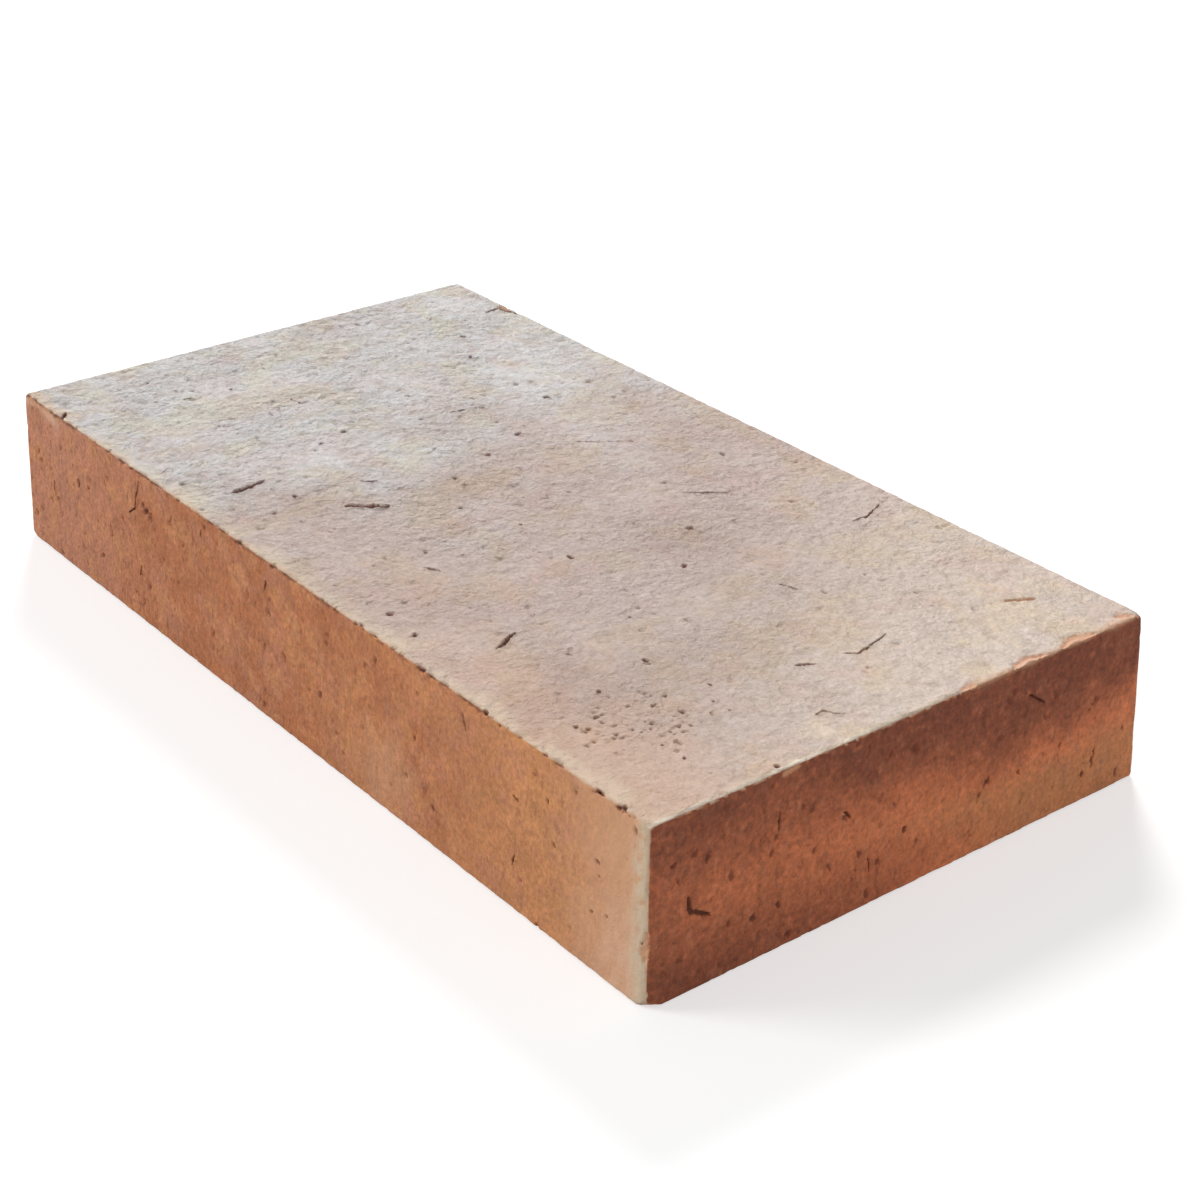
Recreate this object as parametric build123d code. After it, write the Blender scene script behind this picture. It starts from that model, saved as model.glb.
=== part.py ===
"""A hand-moulded solid clay brick: one fired piece that lies on its bed face.

The brick is turned out of a mould, so its four sides lean in from the bed face to the top.
Its arrises are worn round, each upright one by its own amount, and three of its corners have
lost a small flake.

Frame: X along the length, Y along the width, Z up. The origin is the middle of the bed face.
Right is +X, left is -X, front is -Y and back is +Y.
"""

import os
from math import atan, degrees

from build123d import *

# Driving dimensions, in millimetres
brick_length = 260.0  # at the bed face
brick_width = 140.0  # at the bed face
brick_height = 41.0
mould_draft = 1.5  # how far each side leans in from the bed face to the top

# Worn arrises, as radii
top_arris_radius = 1.2
bed_arris_radius = 0.8
front_right_arris_radius = 2.6
back_right_arris_radius = 1.2
front_left_arris_radius = 1.3
back_left_arris_radius = 1.8

# Flakes lost at three corners: how far each ran along X, Y and Z from the unworn corner
front_right_bed_flake = (3.6, 4.6, 3.0)
front_left_bed_flake = (3.0, 2.6, 2.0)
back_right_top_flake = (2.6, 2.2, 1.6)

RIGHT, LEFT = 1, -1
BACK, FRONT = 1, -1
TOP, BED = 1, 0

upright_arrises = {
    (RIGHT, FRONT): front_right_arris_radius,
    (RIGHT, BACK): back_right_arris_radius,
    (LEFT, FRONT): front_left_arris_radius,
    (LEFT, BACK): back_left_arris_radius,
}
flakes = {
    (RIGHT, FRONT, BED): front_right_bed_flake,
    (LEFT, FRONT, BED): front_left_bed_flake,
    (RIGHT, BACK, TOP): back_right_top_flake,
}


def corner(x_side, y_side, level):
    """A corner of the unworn block."""
    inset = mould_draft * level
    x = x_side * (brick_length / 2 - inset)
    y = y_side * (brick_width / 2 - inset)
    return Vector(x, y, brick_height * level)


def moulded_block():
    """The clay as it leaves the mould, with leaning sides and sharp arrises."""
    lean = degrees(atan(mould_draft / brick_height))
    return extrude(Rectangle(brick_length, brick_width), brick_height, taper=lean)


def wear_upright_arrises(block):
    for (x_side, y_side), radius in upright_arrises.items():
        foot = corner(x_side, y_side, BED)
        uprights = block.edges().filter_by(lambda edge: edge.bounding_box().size.Z > brick_height / 2)
        arris = uprights.sort_by(lambda edge: edge.distance_to(foot))[0]
        block = fillet(arris, radius)
    return block


def wear_flat_arrises(block):
    """Rounds the edges of the top face and of the bed face."""
    block = fillet(block.faces().sort_by(Axis.Z)[-1].edges(), top_arris_radius)
    return fillet(block.faces().sort_by(Axis.Z)[0].edges(), bed_arris_radius)


def lose_flake(block, x_side, y_side, level, runs):
    """Cuts a corner off by the plane through the three points that the flake ran to."""
    start = corner(x_side, y_side, level)
    z_side = 1 if level == TOP else -1
    along_x = start - Vector(x_side * runs[0], 0, 0)
    along_y = start - Vector(0, y_side * runs[1], 0)
    along_z = start - Vector(0, 0, z_side * runs[2])
    outward = (along_y - along_x).cross(along_z - along_x)
    if outward.dot(start - along_x) < 0:
        outward = -outward
    return split(block, bisect_by=Plane(along_x, z_dir=outward), keep=Keep.BOTTOM)


def clay_brick():
    brick = wear_flat_arrises(wear_upright_arrises(moulded_block()))
    for place, runs in flakes.items():
        brick = lose_flake(brick, *place, runs)
    brick.label = "brick"
    return brick


os.makedirs("parts", exist_ok=True)
export_step(clay_brick(), "parts/brick.step")
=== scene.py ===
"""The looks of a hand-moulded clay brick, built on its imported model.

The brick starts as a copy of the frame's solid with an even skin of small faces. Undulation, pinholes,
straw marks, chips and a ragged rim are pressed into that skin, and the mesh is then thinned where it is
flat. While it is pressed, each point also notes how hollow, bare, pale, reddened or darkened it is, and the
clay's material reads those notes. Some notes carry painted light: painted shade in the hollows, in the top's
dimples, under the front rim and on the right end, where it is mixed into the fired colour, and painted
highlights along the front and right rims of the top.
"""

import random
from collections import defaultdict
from math import cos, pi, radians, sin, tau
from typing import NamedTuple

import bmesh
import bpy
from bpy.props import FloatProperty, FloatVectorProperty, IntProperty, PointerProperty
from mathutils import Matrix, Vector, kdtree, noise


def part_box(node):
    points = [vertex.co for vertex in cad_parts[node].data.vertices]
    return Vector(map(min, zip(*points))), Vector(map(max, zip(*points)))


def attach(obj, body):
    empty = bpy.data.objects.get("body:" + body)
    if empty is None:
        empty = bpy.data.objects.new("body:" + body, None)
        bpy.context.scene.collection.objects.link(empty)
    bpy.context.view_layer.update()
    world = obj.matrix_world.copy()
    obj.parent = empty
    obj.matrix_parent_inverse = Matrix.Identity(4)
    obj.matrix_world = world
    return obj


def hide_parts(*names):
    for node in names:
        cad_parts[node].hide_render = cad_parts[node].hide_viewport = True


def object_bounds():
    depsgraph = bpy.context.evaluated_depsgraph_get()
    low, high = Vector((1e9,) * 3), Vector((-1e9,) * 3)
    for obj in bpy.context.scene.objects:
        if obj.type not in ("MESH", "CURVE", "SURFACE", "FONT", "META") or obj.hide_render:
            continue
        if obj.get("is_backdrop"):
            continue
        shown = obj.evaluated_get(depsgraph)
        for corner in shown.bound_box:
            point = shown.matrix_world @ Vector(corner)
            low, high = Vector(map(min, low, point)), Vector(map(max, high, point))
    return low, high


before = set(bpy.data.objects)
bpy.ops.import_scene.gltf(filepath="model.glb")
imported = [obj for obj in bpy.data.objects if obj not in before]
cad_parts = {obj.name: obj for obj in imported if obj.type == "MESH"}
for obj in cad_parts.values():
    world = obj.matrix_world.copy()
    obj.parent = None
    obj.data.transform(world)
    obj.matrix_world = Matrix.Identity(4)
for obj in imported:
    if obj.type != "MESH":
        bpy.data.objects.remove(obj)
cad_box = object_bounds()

bl_info = {
    "name": "Clay brick",
    "version": (1, 0, 0),
    "blender": (4, 5, 0),
    "location": "View3D > Sidebar > Clay brick",
    "description": "Models a hand-moulded fired clay brick and the stage that it is shown on",
    "category": "Mesh",
}

MM = 0.001
NODE = "brick"
LOW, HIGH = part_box(NODE)


# Settings that a user would change


def length_setting(name, description, default):
    return FloatProperty(
        name=name, description=description, default=default, min=0.0, unit="LENGTH", precision=5
    )


def angle_setting(name, description, default):
    return FloatProperty(name=name, description=description, default=radians(default), subtype="ANGLE")


def level_setting(name, description, default):
    return FloatProperty(name=name, description=description, default=default, min=0.0)


def colour_setting(name, description, default):
    return FloatVectorProperty(
        name=name, description=description, default=default, min=0.0, max=1.0, size=3, subtype="COLOR"
    )


class BrickSizes(bpy.types.PropertyGroup):
    mould_draft: length_setting("Mould draft", "How far a side leans in from the bed to the top", 1.5 * MM)
    skin_spacing: length_setting("Skin spacing", "Distance between points as wear is pressed in", 0.42 * MM)
    mark_spacing: length_setting("Mark spacing", "Distance between points at thin marks", 0.14 * MM)
    triangles: IntProperty(
        name="Triangles", description="How many are left after thinning", default=190000, min=1000
    )
    swell_depth: length_setting("Swell depth", "Slow unevenness of every side", 0.35 * MM)
    dimple_depth: length_setting("Dimple depth", "Dimples of the struck top", 0.45 * MM)
    drag_depth: length_setting("Drag depth", "Upright drag lines that the mould left on the sides", 0.16 * MM)
    pock_depth: length_setting("Pock depth", "Deepest shallow pock", 0.55 * MM)
    pinhole_depth: length_setting("Pinhole depth", "Deepest pinhole", 0.9 * MM)
    chip_depth: length_setting("Chip depth", "Deepest chip along a ragged arris", 0.9 * MM)
    chip_reach: length_setting("Chip reach", "How far a chip runs from its arris", 2.2 * MM)
    seed: IntProperty(
        name="Seed", description="Picks the hidden sides' marks, the rim's nicks and how marks waver",
        default=7, min=1,
    )


class ClayColours(bpy.types.PropertyGroup):
    terracotta: colour_setting("Terracotta", "The fired clay of the sides", (0.42, 0.148, 0.057))
    ochre: colour_setting("Ochre", "Yellower clay in the sides", (0.52, 0.225, 0.088))
    rose: colour_setting("Rose", "Pinker clay in the sides", (0.46, 0.19, 0.105))
    # The painted shade at the bottom of deep hollows.
    deep_hollow_shade: colour_setting("Umber", "The bottom of deep hollows", (0.08, 0.026, 0.012))
    red_clay: colour_setting("Red clay", "Clay that was fired harder", (0.68, 0.205, 0.083))
    # Burnt clay, and also the colour of painted shade: in the hollows, under the front rim and in the
    # darkened part of the right end.
    burnt_and_shade: colour_setting("Burnt", "Clay that the fire scorched", (0.165, 0.042, 0.02))
    bare: colour_setting("Bare clay", "Fresh clay where a chip came off", (0.6, 0.3, 0.165))
    peach: colour_setting("Peach", "Pale clay that the bloom fades into", (0.6, 0.33, 0.19))
    blush: colour_setting("Blush", "Pinkish pale clay low on the front", (0.68, 0.42, 0.285))
    bloom: colour_setting("Bloom", "The cream bloom along the rims", (0.6, 0.478, 0.335))
    # The colour of a painted highlight along the right rim of the top.
    painted_rim_highlight: colour_setting("Painted rim highlight", "The rubbed rim of the top over the right end", (0.86, 0.75, 0.63))
    skin_cool: colour_setting("Cool skin", "The top's skin towards the left end", (0.53, 0.51, 0.505))
    skin_rose: colour_setting("Rosy skin", "The top's skin in the middle", (0.412, 0.313, 0.276))
    skin_dusk: colour_setting("Dusky skin", "The top's skin at the near right corner", (0.31, 0.212, 0.172))
    skin_warm: colour_setting("Warm skin", "The top's skin at the back right corner", (0.545, 0.437, 0.365))
    # Also painted shade: the top's dimples are darkened towards it. The brown flecks use it as their own
    # colour.
    skin_brown: colour_setting("Brown skin", "The low spots of the top's skin", (0.3, 0.21, 0.15))
    cream_tint: colour_setting("Cream tint", "Patches where the top's skin is yellower", (1.0, 0.97, 0.84))
    rose_tint: colour_setting("Rose tint", "Patches where the top's skin is pinker", (1.0, 0.93, 0.92))
    skin_pale: colour_setting("Pale skin", "The rubbed high spots of the top's skin", (0.58, 0.5, 0.45))


class StudioSettings(bpy.types.PropertyGroup):
    camera_azimuth: angle_setting("Azimuth", "Where the camera stands, turned from the front", 51.73)
    camera_elevation: angle_setting("Elevation", "How far the camera looks down", 27.85)
    camera_roll: angle_setting("Roll", "The camera's tilt", 0.43)
    camera_distance: length_setting("Distance", "From the camera to its target", 540.7 * MM)
    camera_target: FloatVectorProperty(
        name="Target", description="The point that the camera looks at", default=(0.0304, -0.0032, 0.026),
        subtype="TRANSLATION",
    )
    camera_lens: level_setting("Lens", "Focal length in millimetres", 70.5)
    sky_level: level_setting("Sky level", "Light from all around", 0.34)
    key_level: level_setting("Key level", "Light from the back left", 2.1)
    fill_level: level_setting("Fill level", "Light from the front left", 1.85)
    side_level: level_setting("Side level", "Light from the right", 0.75)
    floor_colour: colour_setting("Floor", "The pale floor", (0.6, 0.6, 0.6))


# The sides of the block


class Side(NamedTuple):
    """One side of the block: a plane, and two directions for places on it."""

    foot: Vector
    outward: Vector
    along: Vector
    across: Vector

    def place(self, spot):
        """A spot in millimetres along and across the side, as a point in the frame."""
        return self.foot + (self.along * spot[0] + self.across * spot[1]) * MM

    def depth(self, point):
        """How far a point lies behind the side."""
        return (self.foot - point).dot(self.outward)


def block_sides(draft):
    """The six sides by name. Places on an upright side start at the middle of its lower edge."""
    length, width, height = HIGH - LOW
    lean = draft / height
    x, y, z = Vector((1, 0, 0)), Vector((0, 1, 0)), Vector((0, 0, 1))

    def upright(outward, along, reach):
        return Side(outward * reach, (outward + z * lean).normalized(), along, z - outward * lean)

    return {
        "top": Side(z * height, z, x, y),
        "bed": Side(z * 0, -z, x, y),
        "front": upright(-y, x, width / 2),
        "back": upright(y, x, width / 2),
        "right": upright(x, y, length / 2),
        "left": upright(-x, y, length / 2),
    }


class Patch(NamedTuple):
    """A round patch on a side: its middle and its reach, in millimetres."""

    side: str
    middle: tuple
    reach: float


PINHOLE_CLUSTER = Patch("top", (97, -46), 15.0)
CREAM_PATCH = Patch("top", (121.5, -19.5), 6.0)
PALE_SMEAR = Patch("front", (40, 9), 15.0)


# Marks pressed into the clay

LIP_REACH = 1.6  # where the raised lip of a hollow ends, as a share of the hollow's reach
LIP_HEIGHT = 0.16  # as a share of the hollow's depth
MARK_ENDS = 0.45  # how wide a mark is at its very ends, as a share of its width
MARK_WAVER = 0.4 * MM  # how far a mark strays from its line


class Mark(NamedTuple):
    """A hollow along a line of spots, in millimetres on its side: a straw mark, a pit or a chip."""

    side: str
    spots: tuple
    width: float
    depth: float
    bare: float = 0.0
    lip: float = LIP_HEIGHT


def straw(side, *spots, width=0.8, depth=0.9):
    return Mark(side, spots, width, depth)


def pit(side, *spots, width=1.9, depth=0.6):
    return [Mark(side, (spot,), width, depth) for spot in spots]


def chip(side, *spots, width=2.4, depth=0.7):
    return Mark(side, spots, width, depth, bare=0.9, lip=0.0)


SEEN_MARKS = [
    straw("top", (-43, -56), (-44.5, -47), width=1.8, depth=1.1),
    straw("top", (-21, -39), (-15, -31), width=2.0, depth=1.2),
    straw("top", (-52, 12.5), (-51, 16.5)),
    straw("top", (-50, 20), (-47.5, 22)),
    straw("top", (21.5, 29.5), (25.5, 34.5), (29.5, 38), width=0.8),
    straw("top", (56.5, 50), (57, 55), (54, 61.5), width=0.65),
    straw("top", (56.5, -51), (53, -44), width=1.2),
    chip("top", (106, 49.5), (109, 55), width=1.5, depth=0.55),
    straw("top", (101.5, 5), (103.5, 7.5), (101, 18), depth=0.55),
    straw("top", (99.5, -6), (101.5, -3), width=1.0),
    straw("top", (16.5, -42), (19.5, -40)),
    straw("top", (70.5, 15.5), (74.5, 17)),
    straw("top", (-100, -37.5), (-100, -35)),
    straw("top", (-83.5, -15.5), (-79.5, -14.5)),
    straw("top", (-30.5, -28.5), (-28, -25)),
    *pit("top", (-67.5, 10), (30, -60), (41, -61), (-93, 45.5), (-79.5, 38.5), (32, -13), (37, 18)),
    *pit("top", (51, 4.5), (-44.5, 38), (-30, 18), (-18.5, -9)),
    *pit("top", (100, -29), (62, -20), (12, -12), (-85, -20), (-98.5, -24.5), width=1.1, depth=0.5),
    *pit("top", (94.5, -25), (105, -29), (99, -37), (104, -43.5), (107, -48), width=1.1, depth=0.4),
    *pit("top", (91.5, -57), (93.5, -55.5), (83.5, -45), (67.5, -40.5), width=1.2, depth=0.42),
    *pit("top", (113.5, -47.5), width=1.2, depth=0.42),
    *pit("top", (-58, -15.5), (-55, -24), (-24.5, 5), (-32.5, -45.5), (-9.5, 38), (79, -29.5), width=1.6),
    *pit("top", (-116, -47.5), (-116, -39.5), width=1.4, depth=0.4),
    straw("top", (-17.5, 27), (-10, 37.5), width=0.6, depth=0.4),
    straw("top", (116.5, -16.5), (116.5, -14), (118.5, -13), (120, -11.5), width=0.7, depth=0.4),
    straw("front", (-67.5, 38), (-70, 30), (-73, 28)),
    straw("front", (-114.5, 21), (-114.5, 17)),
    straw("front", (-37, 37), (-37.5, 35)),
    straw("front", (-8, 36), (-8.5, 33)),
    straw("front", (-68, 15.5), (-68.5, 12.5)),
    straw("front", (69, 36.5), (70, 33.5)),
    straw("front", (86.5, 27), (88, 26.5), width=1.0),
    straw("front", (87, 13.5), (86.5, 10.5)),
    *pit("front", (-100, 25.5), (-94.5, 26.5), (-64, 31)),
    *pit("front", (113.5, 25.5), (114, 22.5), (116.5, 15), (112, 13.5), width=1.3, depth=0.35),
    straw("right", (-59, 21.5), (-58.5, 18), (-54, 16), width=1.5),
    straw("right", (32.5, 34), (38.5, 29.5)),
    straw("right", (-36, 31.5), (-36.5, 27.5)),
    straw("right", (22.5, 18), (22.5, 16)),
    straw("right", (56, 12.5), (55.5, 8)),
    straw("right", (-19, 25), (-17, 22.5)),
    straw("right", (-12, 11.5), (-11.5, 8)),
    *pit("right", (-54.5, 28.5), (-62.5, 30.5), (-2, 14), (52.5, 7), (-36, 10.5), (-42.5, 10)),
    straw("top", (-111, -65.5), (-107.5, -68.2), width=1.4, depth=1.3),
    chip("front", (-111.5, 40), (-108, 40), width=3.0, depth=0.8),
    chip("front", (-127.5, 40.4), (-121, 40.2), width=2.2, depth=0.5),
    chip("front", (-119, 40.6), (-114.5, 40), width=1.6, depth=0.5),
    *pit("front", (95, 0.5), width=1.8, depth=0.7),
    *pit("front", (-20, 41), (54, 41), (76, 41), (113, 41), (119, 41), width=2.4, depth=1.2),
    *pit("right", (-33.5, 2.4), width=2.0),
    chip("front", (128.6, 11), (128.2, 14), (128.6, 17.5), width=2.8, depth=0.35),
    *pit("front", (127.6, 14.5), width=1.5, depth=0.4),
    *pit("top", (126.6, -35.5), width=1.6, depth=0.6),
    chip("right", (-35, 40), (-31.5, 40.2), width=2.0, depth=0.4),
    chip("top", (127.4, 14), (127.8, 17.5), width=2.4, depth=0.4),
    chip("top", (127.6, 29), (126.6, 33), (127.8, 38), width=2.6, depth=0.4),
    chip("top", (127.8, 44), (126.4, 48), (127.6, 53), width=3.2, depth=0.4),
    chip("top", (125.5, 63), (127, 65.5), width=3.0, depth=0.4),
    straw("top", (-104, 61), (-104.8, 66), (-97, 67.5), width=1.4, depth=0.7),
    chip("top", (-105, 67), (-102, 68)),
    chip("top", (-99.5, 68.5), (-97, 68.5)),
    chip("top", (-65, 68.5), (-62, 68.5)),
    chip("top", (74, 68.5), (77, 68.5)),
]
HIDDEN_SIDES = {  # how far marks spread along a side, and from where to where across it, in millimetres
    "back": (120, 3, 36),
    "left": (62, 3, 36),
    "bed": (120, -62, 62),
}
HIDDEN_MARKS = 16  # on each side
RIM_NICKS = 60
NICKED_SHORT = 3.0  # how far from the ends of the rim the nicks stop, in millimetres


def hidden_marks(seed):
    """Straw marks for the sides that are seen only from behind or below."""
    draw = random.Random(seed)
    marks = []
    for side, (reach, lowest, highest) in HIDDEN_SIDES.items():
        for _ in range(HIDDEN_MARKS):
            u = draw.uniform(-reach, reach)
            v = draw.uniform(lowest, highest)
            turn = draw.uniform(0, tau)
            run = draw.uniform(0, 4)
            end = (u + run * cos(turn), v + run * sin(turn))
            marks.append(straw(side, (u, v), end, width=draw.uniform(0.7, 1.2)))
    return marks


def rim_nicks(seed):
    """Small nicks along the front rim of the top."""
    draw = random.Random(seed)
    reach, height = HIGH.x / MM - NICKED_SHORT, HIGH.z / MM
    for _ in range(RIM_NICKS):
        start = draw.uniform(-reach, reach)
        level = height - draw.uniform(0.0, 0.9)
        run = draw.uniform(0.2, 1.4)
        width = draw.uniform(0.7, 1.5)
        depth = draw.uniform(0.3, 0.7)
        bare = draw.uniform(0.0, 0.7)
        yield Mark("front", ((start, level), (start + run, level)), width, depth, bare, lip=0.0)


def smooth_step(low, high, value):
    """From 0 at low to 1 at high, without a kink. Low may be the greater of the two."""
    share = min(max((value - low) / (high - low), 0.0), 1.0)
    return share * share * (3.0 - 2.0 * share)


def hollow_profile(reached, lip=LIP_HEIGHT):
    """How deep a hollow is at a share of its reach: 1 in its middle, and below 0 on its lip."""
    raised = smooth_step(0.8, 1.1, reached) * (1.0 - smooth_step(1.1, LIP_REACH, reached))
    return 1.0 - smooth_step(0.2, 1.0, reached) - lip * raised


def line_points(corners, step):
    """Points along a line of corners, a step apart."""
    points = [corners[0]]
    for start, end in zip(corners, corners[1:]):
        count = max(1, round((end - start).length / step))
        points += [start.lerp(end, number / count) for number in range(1, count + 1)]
    return points


def mark_line(mark, side):
    """Points along a mark with the reach at each: it wavers, and tapers towards its ends."""
    reach = mark.width / 2 * MM
    corners = [side.place(spot) for spot in mark.spots]
    if len(corners) == 1:
        lean = noise.noise_vector(corners[0] / MM) * reach
        corners = [corners[0] - lean, corners[0] + lean]
    points = line_points(corners, reach / 2)
    for number, point in enumerate(points):
        taper = MARK_ENDS + (1.0 - MARK_ENDS) * sin(pi * (number + 0.5) / len(points)) ** 0.5
        uneven = 1.0 + 0.35 * noise.noise(point / (1.4 * MM))
        yield point + noise.noise_vector(point / (3.0 * MM)) * MARK_WAVER, reach * taper * uneven


# The brick's mesh


def apply_modifiers(piece):
    rough = piece.data
    depsgraph = bpy.context.evaluated_depsgraph_get()
    piece.data = bpy.data.meshes.new_from_object(piece.evaluated_get(depsgraph))
    piece.modifiers.clear()
    bpy.data.meshes.remove(rough)


def even_blank(spacing):
    """A copy of the frame's solid with an even skin of small faces."""
    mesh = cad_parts[NODE].data.copy()
    mesh.materials.clear()
    shell = bmesh.new()
    shell.from_mesh(mesh)
    bmesh.ops.remove_doubles(shell, verts=shell.verts, dist=0.001 * MM)
    shell.to_mesh(mesh)
    shell.free()
    piece = bpy.data.objects.new("clay_brick", mesh)
    bpy.context.scene.collection.objects.link(piece)
    remesh = piece.modifiers.new("Even skin", "REMESH")
    remesh.mode = "VOXEL"
    remesh.voxel_size = spacing
    remesh.adaptivity = 0.0
    apply_modifiers(piece)
    return piece


def vertex_tree(mesh):
    tree = kdtree.KDTree(len(mesh.vertices))
    for vertex in mesh.vertices:
        tree.insert(vertex.co, vertex.index)
    tree.balance()
    return tree


def refine(mesh, places, cuts):
    """Splits the faces round some places, each a point and a reach."""
    tree = vertex_tree(mesh)
    skin = bmesh.new()
    skin.from_mesh(mesh)
    skin.verts.ensure_lookup_table()
    skin.edges.ensure_lookup_table()
    touched = set()
    for point, reach in places:
        for _, index, _ in tree.find_range(point, reach):
            touched.update(edge.index for edge in skin.verts[index].link_edges)
    edges = [skin.edges[index] for index in sorted(touched)]
    bmesh.ops.subdivide_edges(skin, edges=edges, cuts=cuts, use_grid_fill=True)
    skin.to_mesh(mesh)
    skin.free()


def refine_at_marks(mesh, sides, marks, sizes):
    """Splits the faces along the marks and in the pinhole cluster, so that thin hollows come out crisp."""
    cluster = PINHOLE_CLUSTER
    places = [(sides[cluster.side].place(cluster.middle), cluster.reach * MM)]
    for mark in marks:
        line = mark_line(mark, sides[mark.side])
        places += [(point, reach + sizes.skin_spacing) for point, reach in line]
    refine(mesh, places, round(sizes.skin_spacing / sizes.mark_spacing) - 1)


def press_marks(mesh, sides, marks):
    """How deep the marks go at each point, and how bare they leave it."""
    tree = vertex_tree(mesh)
    closest = {}
    for mark in marks:
        for point, reach in mark_line(mark, sides[mark.side]):
            for spot, index, distance in tree.find_range(point, reach * LIP_REACH):
                reached = distance / reach * (1.0 + 0.6 * noise.noise(spot / max(reach, 0.6 * MM)))
                if reached < closest.get(index, (LIP_REACH, mark))[0]:
                    closest[index] = reached, mark
    pressed, bared = {}, {}
    for index, (reached, mark) in closest.items():
        share = hollow_profile(reached, mark.lip)
        pressed[index] = share * mark.depth * MM
        bared[index] = smooth_step(0.0, 0.6, share) * mark.bare
    return pressed, bared


def thin(piece, triangles):
    """Thins the mesh where it is flat, down to a number of triangles."""
    decimate = piece.modifiers.new("Thin where flat", "DECIMATE")
    decimate.ratio = triangles / (2 * len(piece.data.polygons))
    decimate.use_collapse_triangulate = True
    apply_modifiers(piece)
    piece.data.shade_smooth()


# The texture that striking, moulding and drying left


class Waves(NamedTuple):
    """Unevenness in waves of a size in millimetres, with finer waves on top."""

    size: float
    fading: float  # how fast the finer waves weaken
    step: float  # how much finer each one is than the one before
    count: int

    def height(self, point):
        """From about 0 to about 1."""
        return 0.5 + 0.5 * noise.fractal(point / (self.size * MM), self.fading, self.step, self.count)


class Pocks(NamedTuple):
    """Round hollows of many sizes, in millimetres, at most one to a cell."""

    cell: float
    smallest: float
    largest: float
    share: float = 1.0  # of the cells that hold one


SWELL = Waves(size=38.0, fading=1.0, step=2.0, count=3)
DIMPLES = Waves(size=2.8, fading=0.7, step=2.1, count=3)
DRAG_LINES = Waves(size=3.0, fading=0.8, step=2.1, count=2)
TOP_POCKS = Pocks(cell=4.0, smallest=0.5, largest=1.2, share=0.7)
TOP_PINHOLES = Pocks(cell=5.0, smallest=0.3, largest=0.9, share=0.3)
CLUSTER_PINHOLES = Pocks(cell=2.1, smallest=0.4, largest=0.8, share=2.0)  # in the middle, more than fills it
SIDE_POCKS = Pocks(cell=3.4, smallest=0.4, largest=1.1)
SIDE_PINHOLES = Pocks(cell=6.0, smallest=0.4, largest=0.8, share=0.3)


class SkinPoint(NamedTuple):
    """A point of the skin, how far it lies behind each side, and the two sides that it is nearest to."""

    at: Vector
    sides: dict
    depths: dict
    nearest: str
    second: str

    @property
    def rim(self):
        """How far the point is from the nearest arris."""
        return self.depths[self.second]

    @property
    def rightness(self):
        """From -1 at the left end to 1 at the right end."""
        return self.at.x / HIGH.x

    @property
    def on_top(self):
        """0 on the sides and 1 on the top, with a soft step at the rim."""
        off_sides = min(depth for name, depth in self.depths.items() if name != "top")
        return smooth_step(-0.5 * MM, 0.5 * MM, off_sides - self.depths["top"])

    def uneven(self, coarse, fine):
        """Wavers about 0 in coarse and in fine waves, each given by its size in millimetres."""
        return noise.noise(self.at / (coarse * MM)) + 0.5 * noise.noise(self.at / (fine * MM))

    def band(self, side, full, end, waver=0.0):
        """1 up to a distance from a side and 0 past another, in millimetres. Waver shifts both."""
        return 1.0 - smooth_step(full * MM, end * MM, self.depths[side] + waver * MM)

    def apart(self, patch):
        """How far the point is from the middle of a patch, as a share of the patch's reach."""
        middle = self.sides[patch.side].place(patch.middle)
        return (self.at - middle).length / (patch.reach * MM)

    def within(self, patch, waver):
        """1 in the middle of a patch and 0 outside it. Waver is a share of the patch's reach."""
        return 1.0 - smooth_step(0.2, 1.0, self.apart(patch) + waver)


def skin_point(point, sides):
    depths = {name: side.depth(point) for name, side in sides.items()}
    (_, nearest), (_, second) = sorted((depth, name) for name, depth in depths.items())[:2]
    return SkinPoint(point, sides, depths, nearest, second)


class Texture(NamedTuple):
    """What the making of a side left at a point. Depths are in metres."""

    relief: float  # how strong the finest grain is, which only the material has
    dimple: float = 0.0  # from 0 on a high spot to 1 in a low one
    dimple_depth: float = 0.0
    pinhole_depth: float = 0.0
    pock_depth: float = 0.0


def pock(point, pocks, more=1.0):
    """How deep a pock is at a point, as a share of the deepest. More fills a greater share of the cells."""
    share = pocks.share * more
    distances, centres = noise.voronoi(point / (pocks.cell * MM))
    pick = 0.5 + 0.5 * noise.cell(centres[0])
    if pick > share:
        return 0.0
    reach = (pocks.smallest + (pocks.largest - pocks.smallest) * pick / share) / pocks.cell
    ragged = distances[0] * (1.0 + 0.9 * noise.noise(point / (0.9 * MM)))
    return (0.4 + 0.6 * pick / share) * hollow_profile(ragged / reach)


def struck_top(spot, sizes):
    """The dimpled top, roughest towards the left end, with pinholes close together in one cluster."""
    point, rightness = spot.at, spot.rightness
    relief = (1.2 - 0.65 * rightness) * (1.0 + 0.6 * noise.noise(point / (16 * MM)))
    dimple = DIMPLES.height(Vector((point.x, point.y * 0.8, point.z)))
    dimple_depth = dimple * (0.8 - 0.5 * rightness) * sizes.dimple_depth
    pinhole = pock(point, TOP_PINHOLES) * (0.85 - 0.15 * rightness)
    pocked = pock(point, TOP_POCKS) * (0.8 - 0.2 * rightness)
    nearness = 1.0 - spot.apart(PINHOLE_CLUSTER)
    if nearness > 0.0:
        pocked = max(pocked, 1.15 * pock(point, CLUSTER_PINHOLES, nearness))
    return Texture(relief, dimple, dimple_depth, pinhole * sizes.pinhole_depth, pocked * sizes.pock_depth)


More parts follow.
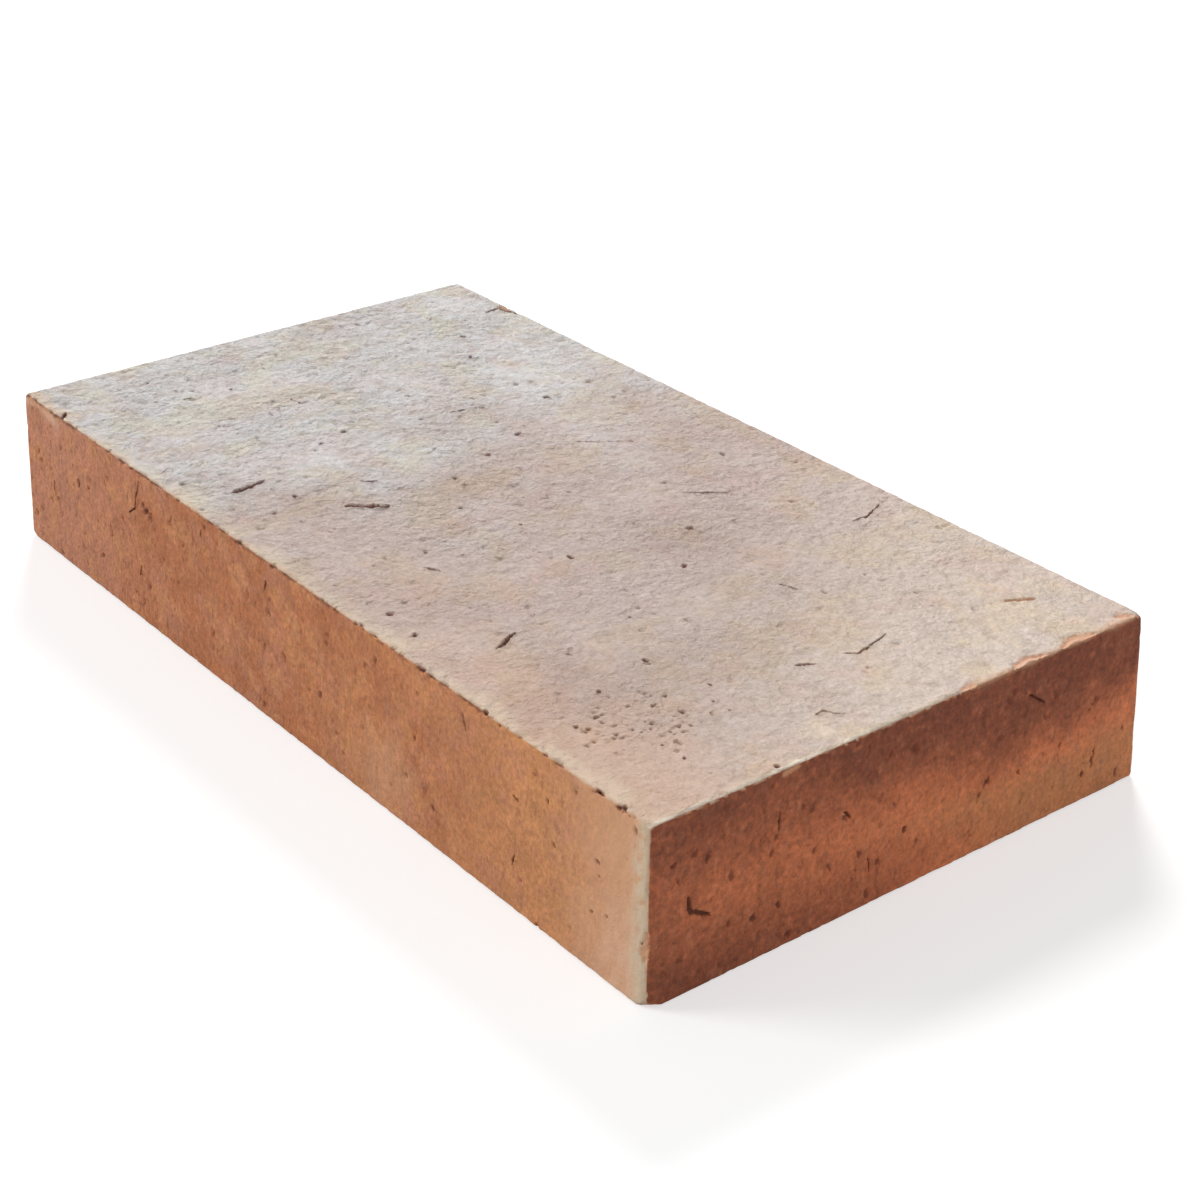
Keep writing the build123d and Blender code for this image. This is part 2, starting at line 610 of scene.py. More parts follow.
def moulded_side(spot, sizes):
    """A side that the mould dragged along upwards, with its pocks drawn out the same way."""
    x, y, z = spot.at
    dimple = DRAG_LINES.height(Vector((x, y, z * 0.3)))
    drawn_out = Vector((x, y, z * 0.7))
    pitted = 0.85 if spot.nearest == "right" else 0.6 - 0.3 * spot.rightness
    pinhole = pock(drawn_out, SIDE_PINHOLES)
    pocked = pock(drawn_out, SIDE_POCKS, pitted)
    return Texture(
        0.8 - 0.25 * spot.rightness, dimple, dimple * sizes.drag_depth, pinhole * sizes.pinhole_depth,
        pocked * sizes.pock_depth,
    )


def side_texture(spot, sizes):
    if spot.nearest == "top":
        return struck_top(spot, sizes)
    if spot.nearest == "bed":
        return Texture(relief=0.6)
    return moulded_side(spot, sizes)


# Where the clay is pale or scorched


def bloom(spot):
    """How much cream bloom lies here: by the near upright arris, along the rims of the top, in one patch."""
    uneven = spot.uneven(7, 2)
    if spot.nearest == "front":
        return 0.9 * spot.band("right", 2.5, 6.5, uneven * 2.0)
    if spot.nearest == "top":
        front = 0.55 * spot.band("front", 0.0, 6.5, uneven * 4.0)
        # Along the right rim this band also places the painted highlight of that rim.
        right = spot.band("right", 0.5, 2.0, uneven * 0.4) * smooth_step(30 * MM, -20 * MM, spot.at.y)
        return max(front, right, 0.68 * spot.within(CREAM_PATCH, uneven * 0.5))
    return 0.0


def blush(spot):
    """How pinkish pale the clay is: low by the near arris, in one smear, at the worn left end of the rim."""
    if spot.nearest not in ("front", "top"):
        return 0.0
    uneven = spot.uneven(7, 2)
    to_the_left = 0.75 * smooth_step(-100 * MM, -115 * MM, spot.at.x)
    rim = to_the_left * min(spot.band(side, 1.5, 4.0, uneven * 2.0) for side in ("front", "top"))
    if spot.nearest == "top":
        return rim
    low = 0.8 * smooth_step(0.65, 0.1, spot.at.z / HIGH.z) * spot.band("right", 6.0, 26.0, uneven * 5.0)
    return max(rim, low, 0.28 * spot.within(PALE_SMEAR, uneven * 0.4))


def peach(spot):
    """How far the clay pales to peach: the front towards its near arris, the worn rims of the top, and a
    painted highlight along the front rim of the top.
    """
    uneven = spot.uneven(9, 3)
    to_the_back = smooth_step(-10 * MM, 40 * MM, spot.at.y)
    if spot.nearest == "front":
        return 0.85 * spot.band("right", 4.0, 34.0, uneven * 6.0)
    if spot.nearest == "top":
        to_the_right = smooth_step(-20 * MM, 120 * MM, spot.at.x)
        # A painted highlight along the top side of the front rim.
        rim = 0.6 * spot.band("front", 0.3, 1.8, uneven)
        worn = 0.8 * to_the_back * spot.band("right", 0.6, 3.0, uneven * 2.0)
        wide = 0.4 * to_the_right * spot.band("front", 5.0, 40.0, uneven * 8.0)
        return max(rim, worn, wide)
    if spot.nearest == "right":
        return 0.8 * to_the_back * spot.band("top", 0.2, 1.2, uneven * 0.6)
    return 0.0


def rim_shadow_line(spot):
    """How dark a point is in the broken painted shadow line under the front rim of the top."""
    if spot.nearest != "front":
        return 0.0
    broken = smooth_step(-0.2, 0.5, noise.noise(spot.at / (5 * MM)))
    fading = 0.33 * smooth_step(120 * MM, 60 * MM, spot.at.x)
    return fading * broken * spot.band("top", 0.7, 1.8)


def scorch_and_shade(spot):
    """How far the right end is reddened and, past a half, darkened: most under its rim, at its low front
    corner and towards the front. This is partly fired colour and partly painted shade of that end.
    """
    if spot.nearest != "right":
        return 0.0
    y, height = spot.at.y, spot.at.z / HIGH.z
    uneven = 0.06 * noise.noise(spot.at / (14 * MM)) + 0.05 * noise.noise(spot.at / (4 * MM))
    edge = 0.82 - 0.3 * smooth_step(-60 * MM, 30 * MM, y) + 0.03 * smooth_step(45 * MM, HIGH.y, y)
    under_rim = smooth_step(edge - 0.35, edge + 0.35, height + uneven)
    low_front = smooth_step(0.5, 0.0, height) * smooth_step(40 * MM, -40 * MM, y)
    base = 0.2 + 0.45 * smooth_step(30 * MM, -70 * MM, y) + 0.1 * smooth_step(-50 * MM, -68 * MM, y)
    return base + (1.05 - base) * max(under_rim, 0.65 * low_front) + uneven


# Wear

RAGGED = {  # how far chips have eaten into the arris between two sides
    frozenset(("front", "top")): 0.8,
    frozenset(("right", "top")): 0.3,
    frozenset(("front", "right")): 0.4,
}
RAGGED_ELSEWHERE = 0.1
# Painted shade in the hollows: the shares below set how dark the pinholes and pocks of each side get, and
# DARK_HOLLOW is the depth that gets the darkest.
PIT_SHADE = {"right": 0.85, "front": 0.6}  # how dark the pinholes and pocks of a side are
PIT_SHADE_ELSEWHERE = 0.4
DARK_HOLLOW = 0.7 * MM  # how deep a hollow is that is as dark as any


def arris_chip(spot, sizes):
    """How far a point by an arris is chipped away, as a share of the deepest chip."""
    ragged = RAGGED.get(frozenset((spot.nearest, spot.second)), RAGGED_ELSEWHERE)
    eaten = 0.35 + spot.uneven(3.2, 1.3) - spot.rim / sizes.chip_reach * 1.4
    return ragged * smooth_step(0.0, 0.4, eaten)


def worn(spot, sizes, press, bare):
    """How deep a point is pressed in, and what is noted on it. Press and bare are what the marks did."""
    texture = side_texture(spot, sizes)
    swell = SWELL.height(spot.at) * sizes.swell_depth
    settled = smooth_step(-1.0 * MM, 3.0 * MM, spot.rim)
    depth = settled * (swell + texture.dimple_depth + texture.pinhole_depth + texture.pock_depth)
    chipped = arris_chip(spot, sizes)
    chip_depth = chipped * sizes.chip_depth
    depth += max(chip_depth, press if press > 0.0 else press * settled, key=abs)

    pit_shade = max(texture.pinhole_depth, texture.pock_depth) * PIT_SHADE.get(spot.nearest, PIT_SHADE_ELSEWHERE)
    # Painted shade in the hollows: pinholes, pocks, chips and pressed marks darken with depth, less where a
    # mark leaves bare clay, and the painted shadow line under the front rim is added.
    hollow = max(0.0, pit_shade, chip_depth * 0.4, press * (1.0 - 0.8 * bare))
    return max(depth, 0.0), {
        "hollow": max(min(1.0, hollow / DARK_HOLLOW), rim_shadow_line(spot)),
        "dimple": texture.dimple,
        "relief": texture.relief,
        "bare": max(chipped * 0.2, bare),
        "skin": spot.on_top,
        "bloom": bloom(spot),
        "blush": blush(spot),
        "peach": peach(spot),
        "scorch_and_shade": scorch_and_shade(spot),
    }


def wear(piece, sizes):
    """Presses the wear into the blank, and notes on each point what it left there."""
    mesh = piece.data
    sides = block_sides(sizes.mould_draft)
    noise.seed_set(sizes.seed)  # without it, the marks would waver differently in each run
    marks = [*SEEN_MARKS, *hidden_marks(sizes.seed), *rim_nicks(sizes.seed)]
    refine_at_marks(mesh, sides, marks, sizes)
    pressed, bared = press_marks(mesh, sides, marks)
    notes = defaultdict(list)
    points = []
    for vertex in mesh.vertices:
        spot = skin_point(vertex.co.copy(), sides)
        press, bare = pressed.get(vertex.index, 0.0), bared.get(vertex.index, 0.0)
        depth, noted = worn(spot, sizes, press, bare)
        points.append(spot.at - vertex.normal * depth)
        for name, value in noted.items():
            notes[name].append(value)
    for vertex, point in zip(mesh.vertices, points):
        vertex.co = point
    for name, values in notes.items():
        mesh.attributes.new(name, "FLOAT", "POINT").data.foreach_set("value", values)


# The bake map

BAKE_MAP = "OFBake"
BAKE_WIDTH = 356.0  # millimetres of brick that the bake map is wide
BAKE_GAP = 3.0


def bake_corners():
    """Where each side's patch on the bake map starts, in millimetres. Front and back stand on end."""
    length, width, height = (HIGH - LOW) / MM
    rows = [BAKE_GAP + number * (width + BAKE_GAP) for number in range(3)]
    return {
        "top": (BAKE_GAP, rows[0]),
        "bed": (BAKE_GAP, rows[1]),
        "front": (length + 2 * BAKE_GAP, rows[0]),
        "back": (length + height + 3 * BAKE_GAP, rows[0]),
        "right": (BAKE_GAP, rows[2]),
        "left": (width + 2 * BAKE_GAP, rows[2]),
    }


def lay_out_bake_map(piece, sides):
    """Lays each side of the brick flat on the bake map, as a patch of its own."""
    mesh = piece.data
    length, width, _ = (HIGH - LOW) / MM
    starts = bake_corners()
    layer = mesh.uv_layers.new(name=BAKE_MAP)
    for face in mesh.polygons:
        name = min(sides, key=lambda each: sides[each].depth(face.center))
        side = sides[name]
        half = (length if side.along.x else width) / 2
        middle = width / 2 if name in ("top", "bed") else 0.0
        left, low = starts[name]
        for corner in face.loop_indices:
            place = (mesh.vertices[mesh.loops[corner].vertex_index].co - side.foot) / MM
            u, v = place.dot(side.along) + half, place.dot(side.across) + middle
            if name in ("front", "back"):
                u, v = v, u
            layer.data[corner].uv = ((left + u) / BAKE_WIDTH, (low + v) / BAKE_WIDTH)


# The clay's material

SIDE_ROUGHNESS = 0.9
SKIN_ROUGHNESS = 0.62
GRAIN_HEIGHT = 0.4 * MM  # of the finest grain
WANDER = 80 * MM  # how far the colours that change from left to right stray


class Recipe:
    """Adds nodes to a tree and links them. A value that isn't a socket is set on the input itself."""

    def __init__(self, tree):
        self.tree = tree

    def node(self, kind, label, inputs=(), **settings):
        node = self.tree.nodes.new(kind)
        node.label = label
        node.location = (220 * len(self.tree.nodes), 0)
        for name, value in settings.items():
            setattr(node, name, value)
        for key, value in dict(inputs).items():
            self.feed(node.inputs[key], value)
        return node

    def feed(self, socket, value):
        if isinstance(value, bpy.types.NodeSocket):
            self.tree.links.new(value, socket)
        elif socket.type == "RGBA" and len(value) == 3:
            socket.default_value = (*value, 1.0)
        else:
            socket.default_value = value

    def maths(self, label, operation, *values):
        return self.node("ShaderNodeMath", label, enumerate(values), operation=operation).outputs[0]

    def blend(self, label, share, first, second):
        """A colour between two, by a share from 0 to 1."""
        node = self.node("ShaderNodeMix", label, {0: share, 6: first, 7: second}, data_type="RGBA")
        return node.outputs[2]

    def shade(self, label, factor, colour, share=1.0):
        """A colour times a factor or a tint, by a share from 0 to 1."""
        inputs = {0: share, 6: colour, 7: factor}
        node = self.node("ShaderNodeMix", label, inputs, data_type="RGBA", blend_type="MULTIPLY")
        return node.outputs[2]

    def spread(self, label, value, low, high, to_low=0.0, to_high=1.0):
        """A value's range stretched smoothly to another range."""
        inputs = {"Value": value, "From Min": low, "From Max": high, "To Min": to_low, "To Max": to_high}
        node = self.node("ShaderNodeMapRange", label, inputs, interpolation_type="SMOOTHSTEP")
        return node.outputs["Result"]

    def ramp(self, label, value, *stops):
        """A colour along a row of stops, each a place from 0 to 1 and a colour."""
        node = self.node("ShaderNodeValToRGB", label, {0: value})
        elements = node.color_ramp.elements
        elements[0].position = stops[0][0]
        elements[1].position = stops[-1][0]
        for place, _ in stops[1:-1]:
            elements.new(place)
        for element, (_, colour) in zip(elements, stops):
            element.color = (*colour, 1.0)
        return node.outputs[0]

    def noted(self, name):
        """What the wear noted on the points of the mesh under this name."""
        return self.node("ShaderNodeAttribute", name, attribute_name=name).outputs["Fac"]


def mottle_group():
    """Patches of a given size: least below the low end of a noise, most above its high end."""
    group = bpy.data.node_groups.new("Clay mottle", "ShaderNodeTree")
    group.interface.new_socket("Vector", in_out="INPUT", socket_type="NodeSocketVector")
    for name, default in (("Size", 0.01), ("Low", 0.4), ("High", 0.6), ("Least", 0.0), ("Most", 1.0)):
        socket = group.interface.new_socket(name, in_out="INPUT", socket_type="NodeSocketFloat")
        socket.default_value = default
    group.interface.new_socket("Mask", in_out="OUTPUT", socket_type="NodeSocketFloat")
    recipe = Recipe(group)
    given = recipe.node("NodeGroupInput", "Given").outputs
    scale = recipe.maths("Patches in a metre", "DIVIDE", 1.0, given["Size"])
    inputs = {"Vector": given["Vector"], "Scale": scale, "Detail": 4.0, "Roughness": 0.6}
    patches = recipe.node("ShaderNodeTexNoise", "Patches", inputs).outputs[0]
    mask = recipe.spread("Edges", patches, given["Low"], given["High"], given["Least"], given["Most"])
    recipe.node("NodeGroupOutput", "Mask", {"Mask": mask})
    return group


class ClayRecipe(Recipe):
    """A recipe that also knows the brick's places and the mottling of its clay."""

    def __init__(self, tree):
        super().__init__(tree)
        self.mottling = mottle_group()
        self.place = self.node("ShaderNodeTexCoord", "Place").outputs["Object"]
        self.shifted = self.mapped("Shifted", Location=(3.0, 1.0, 2.0))
        self.drawn_out = self.mapped("Drawn out upwards", Scale=(1.0, 1.0, 0.8))
        self.streaked = self.mapped("Streaked upwards", Scale=(1.0, 1.0, 0.4))
        apart = self.node("ShaderNodeSeparateXYZ", "Along and across", {"Vector": self.place})
        self.x, self.y, _ = apart.outputs
        strayed = self.maths("Strayed", "ADD", self.x, self.patch("Slow", self.shifted, 40, 0.2, 0.8, WANDER))
        self.along = self.spread("Left to right", strayed, LOW.x + WANDER / 2, HIGH.x + WANDER / 2)

    def mapped(self, label, **change):
        """The place on the brick, moved or stretched."""
        return self.node("ShaderNodeMapping", label, {"Vector": self.place, **change}).outputs[0]

    def patch(self, label, vector, size, low, high, most=1.0, least=0.0):
        """A mask of patches of a size in millimetres. Their edges run from low to high in the noise."""
        inputs = {"Vector": vector, "Size": size * MM, "Low": low, "High": high, "Most": most, "Least": least}
        return self.node("ShaderNodeGroup", label, inputs, node_tree=self.mottling).outputs["Mask"]

    def product(self, label, first, second):
        return self.maths(label, "MULTIPLY", first, second)


def moulded_clay(recipe, colours):
    """The clay of the sides: rosy to the left, yellower to the right, with patches of both."""
    clay = recipe.ramp(
        "Clay", recipe.along, (0.0, colours.rose), (0.2, colours.terracotta), (0.6, colours.terracotta),
        (0.9, colours.ochre),
    )
    rose = recipe.patch("Rose patch", recipe.shifted, 9, 0.48, 0.62, 0.6)
    clay = recipe.blend("Rose", rose, clay, colours.rose)
    ochre = recipe.patch("Ochre patch", recipe.place, 7, 0.5, 0.62, 0.6)
    return recipe.blend("Ochre", ochre, clay, colours.ochre)


def scorched_and_shaded_clay(recipe, colours, clay, scorched_and_shaded):
    """Clay that is reddened and then darkened, partly as fired colour and partly as painted shade, and
    charred in spots.
    """
    reddened = recipe.spread("Reddened", scorched_and_shaded, 0.0, 0.5)
    clay = recipe.blend("Red", reddened, clay, colours.red_clay)
    darkened = recipe.spread("Darkened", scorched_and_shaded, 0.25, 1.1, 0.0, 0.92)
    clay = recipe.blend("Burnt", darkened, clay, colours.burnt_and_shade)
    charred = recipe.product("Charred", scorched_and_shaded, recipe.patch("Char", recipe.shifted, 1.9, 0.55, 0.65, 0.65))
    clay = recipe.blend("Char", charred, clay, colours.burnt_and_shade)
    glowing = recipe.product("Glowing", scorched_and_shaded, recipe.patch("Glow", recipe.place, 2.6, 0.54, 0.7, 0.25))
    return recipe.blend("Glow", glowing, clay, colours.red_clay)


def grainy_clay(recipe, colours, clay, scorched_and_shaded):
    """Clay with mottles, grain, pale flecks and dark fired spots. Reddened and darkened clay has fewer of the
    pale ones.
    """
    place, shifted, drawn_out = recipe.place, recipe.shifted, recipe.drawn_out
    unburnt = recipe.spread("Unburnt", scorched_and_shaded, 0.3, 0.9, 1.0, 0.45)
    rosy = recipe.product("Rosy", unburnt, recipe.patch("Rosy mottle", drawn_out, 3.0, 0.5, 0.64, 0.35))
    clay = recipe.blend("Rosy mottles", rosy, clay, colours.rose)
    clay = recipe.shade("Clouds", recipe.patch("Cloud", place, 9, 0.3, 0.7, 1.08, 0.92), clay)
    clay = recipe.shade("Mottles", recipe.patch("Mottle", drawn_out, 2.0, 0.3, 0.7, 1.06, 0.92), clay)
    clay = recipe.shade("Grain", recipe.patch("Grain", shifted, 1.1, 0.3, 0.7, 1.16, 0.85), clay)
    seared = recipe.patch("Seared grain", place, 1.4, 0.3, 0.7, 1.22, 0.8)
    clay = recipe.shade("Seared", seared, clay, scorched_and_shaded)
    flecks = recipe.product("Flecks", unburnt, recipe.patch("Pale fleck", shifted, 1.8, 0.64, 0.74, 0.35))
    clay = recipe.blend("Pale flecks", flecks, clay, colours.peach)
    fewer = recipe.spread("Fewer to the right", recipe.along, 0.1, 0.8, 1.0, 0.5)
    spots = recipe.product("Spots", fewer, recipe.patch("Burnt spot", recipe.streaked, 1.1, 0.58, 0.66, 0.55))
    return recipe.blend("Burnt spots", spots, clay, colours.burnt_and_shade)


def side_clay(recipe, colours):
    # The right end's reddening and darkening is partly fired colour and partly painted shade.
    scorched_and_shaded = recipe.noted("scorch_and_shade")
    clay = moulded_clay(recipe, colours)
    clay = scorched_and_shaded_clay(recipe, colours, clay, scorched_and_shaded)
    return grainy_clay(recipe, colours, clay, scorched_and_shaded)


def top_skin(recipe, colours):
    """The pale skin of the top, from cool at the left through rosy to dusky, and warm at the back right. Its
    dimples are browned and darkened as painted shade.
    """
    place, shifted = recipe.place, recipe.shifted
    skin = recipe.ramp(
        "Skin", recipe.along, (0.0, colours.skin_cool), (0.15, colours.skin_cool), (0.5, colours.skin_rose),
        (0.7, colours.skin_rose), (1.0, colours.skin_dusk),
    )
    back_right = recipe.maths("To the back right", "MULTIPLY_ADD", recipe.y, 0.7, recipe.x)
    warmed = recipe.spread("Warmed", back_right, 40 * MM, 140 * MM)
    skin = recipe.blend("Warm skin", warmed, skin, colours.skin_warm)
    cream = recipe.patch("Cream patch", place, 20, 0.48, 0.6)
    skin = recipe.shade("Cream", colours.cream_tint, skin, cream)
    pink = recipe.patch("Pink patch", shifted, 16, 0.5, 0.62)
    skin = recipe.shade("Pink", colours.rose_tint, skin, pink)
    warm = recipe.patch("Warm spot", place, 8, 0.48, 0.68, 0.4)
    skin = recipe.blend("Warm spots", warm, skin, colours.skin_rose)
    pale = recipe.patch("Pale spot", shifted, 5.0, 0.45, 0.85, 0.35)
    skin = recipe.blend("Pale spots", pale, skin, colours.skin_pale)
    # Painted shade in the top's dimples: the low spots turn browner and darker.
    low = recipe.spread("Low spots", recipe.noted("dimple"), 0.5, 0.9, 0.0, 0.4)
    skin = recipe.blend("Low skin", low, skin, colours.skin_brown)
    skin = recipe.shade("Skin mottles", recipe.patch("Skin mottle", place, 1.8, 0.3, 0.7, 1.07, 0.91), skin)
    skin = recipe.shade("Skin grain", recipe.patch("Skin grain", shifted, 0.8, 0.3, 0.7, 1.1, 0.9), skin)
    brown = recipe.patch("Brown fleck", place, 1.6, 0.61, 0.72, 0.55)
    return recipe.blend("Brown flecks", brown, skin, colours.skin_brown)


def pale_and_highlit_rims(recipe, colours, colour, on_top):
    """Peach, blush and bloom where the wear noted them, and a painted highlight along the right rim of the
    top.
    """
    colour = recipe.blend("Peach", recipe.noted("peach"), colour, colours.peach)
    flush = recipe.patch("Flush", recipe.streaked, 3, 0.3, 0.6, 1.0, 0.4)
    flushed = recipe.product("Broken blush", recipe.noted("blush"), flush)
    colour = recipe.blend("Blush", flushed, colour, colours.blush)
    bloomed = recipe.noted("bloom")
    broken = recipe.product("Broken bloom", bloomed, recipe.patch("Bloom", recipe.shifted, 3, 0.25, 0.5))
    colour = recipe.blend("Bloom", broken, colour, colours.bloom)
    # A painted highlight on the top where the bloom is strongest, which is mostly its right rim.
    highlighted = recipe.product("Rim highlight share", recipe.spread("Rim highlight mask", bloomed, 0.55, 0.95, 0.0, 0.7), on_top)
    return recipe.blend("Painted rim highlight", highlighted, colour, colours.painted_rim_highlight)


def chips_and_hollows(recipe, colours, colour):
    """Fresh clay in the chips, and painted shade in the hollows: brown-red, and near black in the deepest."""
    colour = recipe.blend("Bare clay", recipe.noted("bare"), colour, colours.bare)
    # Painted shade: hollows turn brown-red, and the deepest near black.
    hollow = recipe.noted("hollow")
    hollowed = recipe.spread("Hollowed", hollow, 0.1, 0.5, 0.0, 0.8)
    colour = recipe.blend("Hollows", hollowed, colour, colours.burnt_and_shade)
    deep = recipe.spread("Deep", hollow, 0.5, 1.0, 0.0, 0.75)
    return recipe.blend("Depths", deep, colour, colours.deep_hollow_shade)


def grain_relief(recipe):
    """A normal with the finest grain, as strong as the wear noted."""
    coarse = recipe.patch("Coarse grain", recipe.drawn_out, 3.0, 0.1, 0.9, 1.4)
    fine = recipe.patch("Fine grain", recipe.place, 1.2, 0.1, 0.9, 0.5)
    grain = recipe.maths("Both grains", "ADD", coarse, fine)
    height = recipe.product("Relief", grain, recipe.noted("relief"))
    inputs = {"Strength": 1.0, "Distance": GRAIN_HEIGHT, "Height": height}
    return recipe.node("ShaderNodeBump", "Grain relief", inputs).outputs[0]


def fired_clay(colours):
    """The clay: mottled sides, a pale struck top, bloom and painted highlights along the rims, bare chips and
    painted shade in the hollows.
    """
    material = bpy.data.materials.new("fired_clay")
    material.use_nodes = True
    material.node_tree.nodes.clear()
    recipe = ClayRecipe(material.node_tree)
    ragged = recipe.patch("Ragged edge", recipe.place, 2.0, 0.3, 0.7, 0.5)
    skin_edge = recipe.maths("Skin edge", "ADD", ragged, recipe.noted("skin"))
    on_top = recipe.spread("On top", skin_edge, 0.65, 0.85)
    clay, skin = side_clay(recipe, colours), top_skin(recipe, colours)
    colour = recipe.blend("Sides and top", on_top, clay, skin)
    colour = pale_and_highlit_rims(recipe, colours, colour, on_top)
    colour = chips_and_hollows(recipe, colours, colour)
    roughness = recipe.spread("Roughness", on_top, 0.0, 1.0, SIDE_ROUGHNESS, SKIN_ROUGHNESS)
    inputs = {"Base Color": colour, "Roughness": roughness, "Normal": grain_relief(recipe)}
    shader = recipe.node("ShaderNodeBsdfPrincipled", "Clay", inputs)
    recipe.node("ShaderNodeOutputMaterial", "Output", {"Surface": shader.outputs[0]})
    return material


# The stage

FLOOR_REACH = 3.0
FLOOR_LIFT = 0.55  # what the camera sees on top of the light that falls on the floor
SENSOR_WIDTH = 36.0  # millimetres
SUNS = {  # azimuth, elevation and softness, in degrees
    "key": (-128, 36, 14),
    "fill": (-45, 25, 25),
    "side": (75, 20, 60),
}


def towards(azimuth, elevation):
    """The direction to a lamp or a camera. Azimuth 0 is in front, and it turns towards the right."""
    return Vector((sin(azimuth) * cos(elevation), -cos(azimuth) * cos(elevation), sin(elevation)))


def seen_rays(recipe):
    """1 for what the camera sees, also in metal and through glass, and 0 for the light on the brick."""
    ray = recipe.node("ShaderNodeLightPath", "Ray").outputs
    seen = recipe.maths("Camera or mirror", "MAXIMUM", ray["Is Camera Ray"], ray["Is Glossy Ray"])
    return recipe.maths("Seen", "MAXIMUM", seen, ray["Is Transmission Ray"])


def pale_floor(colour):
    """A matt floor that the camera sees as nearly white and that keeps the brick's shadow."""
    material = bpy.data.materials.new("pale_floor")
    material.use_nodes = True
    material.node_tree.nodes.clear()
    recipe = Recipe(material.node_tree)
    matt = recipe.node("ShaderNodeBsdfDiffuse", "Matt", {"Color": colour})
    lift = recipe.maths("Lift", "MULTIPLY", seen_rays(recipe), FLOOR_LIFT)
    glow = recipe.node("ShaderNodeEmission", "White", {"Strength": lift})
    both = recipe.node("ShaderNodeAddShader", "Floor", {0: matt.outputs[0], 1: glow.outputs[0]})
    recipe.node("ShaderNodeOutputMaterial", "Output", {"Surface": both.outputs[0]})
    return material


def add_floor(colour):
    plane = bmesh.new()
    bmesh.ops.create_grid(plane, x_segments=1, y_segments=1, size=FLOOR_REACH)
    mesh = bpy.data.meshes.new("floor")
    plane.to_mesh(mesh)
    plane.free()
    mesh.materials.append(pale_floor(colour))
    floor = bpy.data.objects.new("floor", mesh)
    bpy.context.scene.collection.objects.link(floor)
    floor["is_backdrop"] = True


def add_sun(name, level):
    """A soft distant lamp."""
    azimuth, elevation, softness = (radians(angle) for angle in SUNS[name])
    lamp = bpy.data.lights.new(name, "SUN")
    lamp.energy = level
    lamp.angle = softness
    holder = bpy.data.objects.new(name, lamp)
    holder.rotation_euler = towards(azimuth, elevation).to_track_quat("Z", "Y").to_euler()
    bpy.context.scene.collection.objects.link(holder)


def set_world(level):
    """Even light from all around. The camera sees plain white."""
    world = bpy.data.worlds.new("studio")
    world.use_nodes = True
    world.node_tree.nodes.clear()
    recipe = Recipe(world.node_tree)
    strength = recipe.spread("Strength", seen_rays(recipe), 0.0, 1.0, level, 1.0)
    sky = recipe.node("ShaderNodeBackground", "Sky", {"Color": (1.0, 1.0, 1.0), "Strength": strength})
    recipe.node("ShaderNodeOutputWorld", "Output", {"Surface": sky.outputs[0]})
    bpy.context.scene.world = world


def add_camera(studio):
    back = towards(studio.camera_azimuth, studio.camera_elevation)
    stand = Vector(studio.camera_target) + back * studio.camera_distance
    turn = back.to_track_quat("Z", "Y").to_matrix().to_4x4() @ Matrix.Rotation(studio.camera_roll, 4, "Z")
    lens = bpy.data.cameras.new("camera")
    lens.lens = studio.camera_lens
    lens.sensor_width = SENSOR_WIDTH
    camera = bpy.data.objects.new("camera", lens)
    camera.matrix_world = Matrix.Translation(stand) @ turn
    bpy.context.scene.collection.objects.link(camera)
    bpy.context.scene.camera = camera


# The add-on


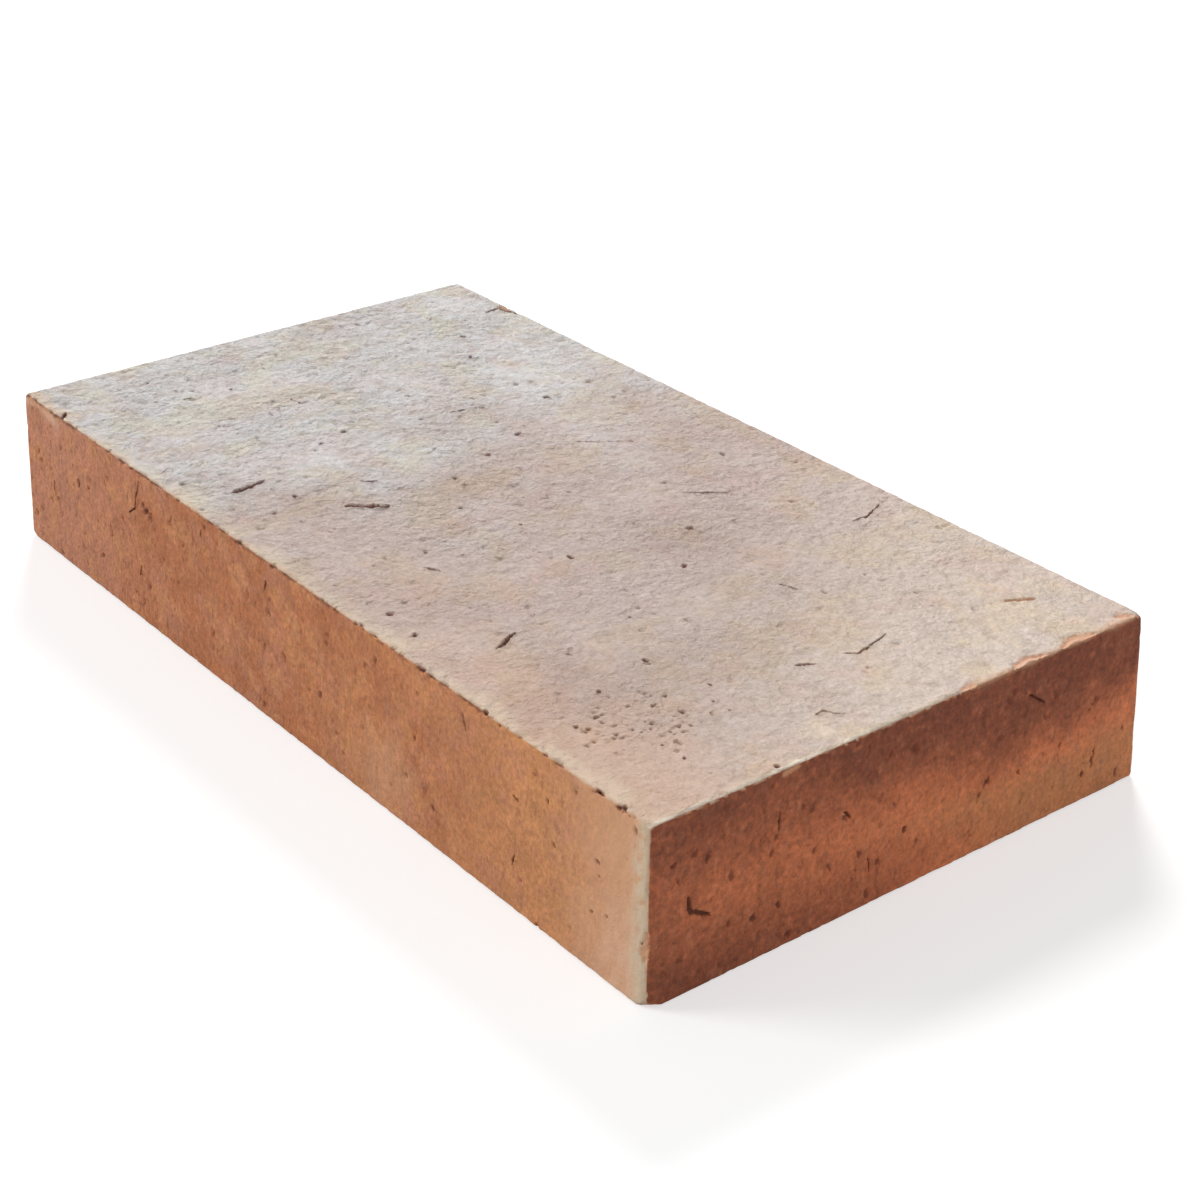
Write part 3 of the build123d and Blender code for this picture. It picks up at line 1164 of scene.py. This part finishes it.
class CLAYBRICK_OT_build_brick(bpy.types.Operator):
    """Model the brick, wear it and give it its clay"""

    bl_idname = "clay_brick.build_brick"
    bl_label = "Build the brick"

    def execute(self, context):
        sizes = context.scene.brick_sizes
        piece = even_blank(sizes.skin_spacing)
        wear(piece, sizes)
        thin(piece, sizes.triangles)
        lay_out_bake_map(piece, block_sides(sizes.mould_draft))
        piece.data.materials.append(fired_clay(context.scene.clay_colours))
        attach(piece, "root")
        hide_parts(NODE)
        return {"FINISHED"}


class CLAYBRICK_OT_set_stage(bpy.types.Operator):
    """Set the floor, the lights and the camera"""

    bl_idname = "clay_brick.set_stage"
    bl_label = "Set the stage"

    def execute(self, context):
        studio = context.scene.studio_settings
        add_floor(studio.floor_colour)
        set_world(studio.sky_level)
        add_sun("key", studio.key_level)
        add_sun("fill", studio.fill_level)
        add_sun("side", studio.side_level)
        add_camera(studio)
        context.scene.view_settings.view_transform = "Standard"
        return {"FINISHED"}


class CLAYBRICK_PT_sidebar(bpy.types.Panel):
    """Lists the settings and what they build"""

    bl_label = "Clay brick"
    bl_space_type = "VIEW_3D"
    bl_region_type = "UI"
    bl_category = "Clay brick"

    def draw(self, context):
        layout = self.layout
        for group in (context.scene.brick_sizes, context.scene.clay_colours, context.scene.studio_settings):
            column = layout.column()
            for name in group.__annotations__:
                column.prop(group, name)
        layout.operator(CLAYBRICK_OT_build_brick.bl_idname)
        layout.operator(CLAYBRICK_OT_set_stage.bl_idname)


CLASSES = (
    BrickSizes,
    ClayColours,
    StudioSettings,
    CLAYBRICK_OT_build_brick,
    CLAYBRICK_OT_set_stage,
    CLAYBRICK_PT_sidebar,
)


def register():
    for each in CLASSES:
        bpy.utils.register_class(each)
    bpy.types.Scene.brick_sizes = PointerProperty(type=BrickSizes)
    bpy.types.Scene.clay_colours = PointerProperty(type=ClayColours)
    bpy.types.Scene.studio_settings = PointerProperty(type=StudioSettings)


def unregister():
    del bpy.types.Scene.studio_settings
    del bpy.types.Scene.clay_colours
    del bpy.types.Scene.brick_sizes
    for each in reversed(CLASSES):
        bpy.utils.unregister_class(each)


def main():
    register()
    bpy.ops.clay_brick.build_brick()
    bpy.ops.clay_brick.set_stage()
    boxes = {"cad": cad_box, "visual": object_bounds()}
    plain = {name: [list(corner) for corner in box] for name, box in boxes.items()}


if __name__ == "__main__":
    main()
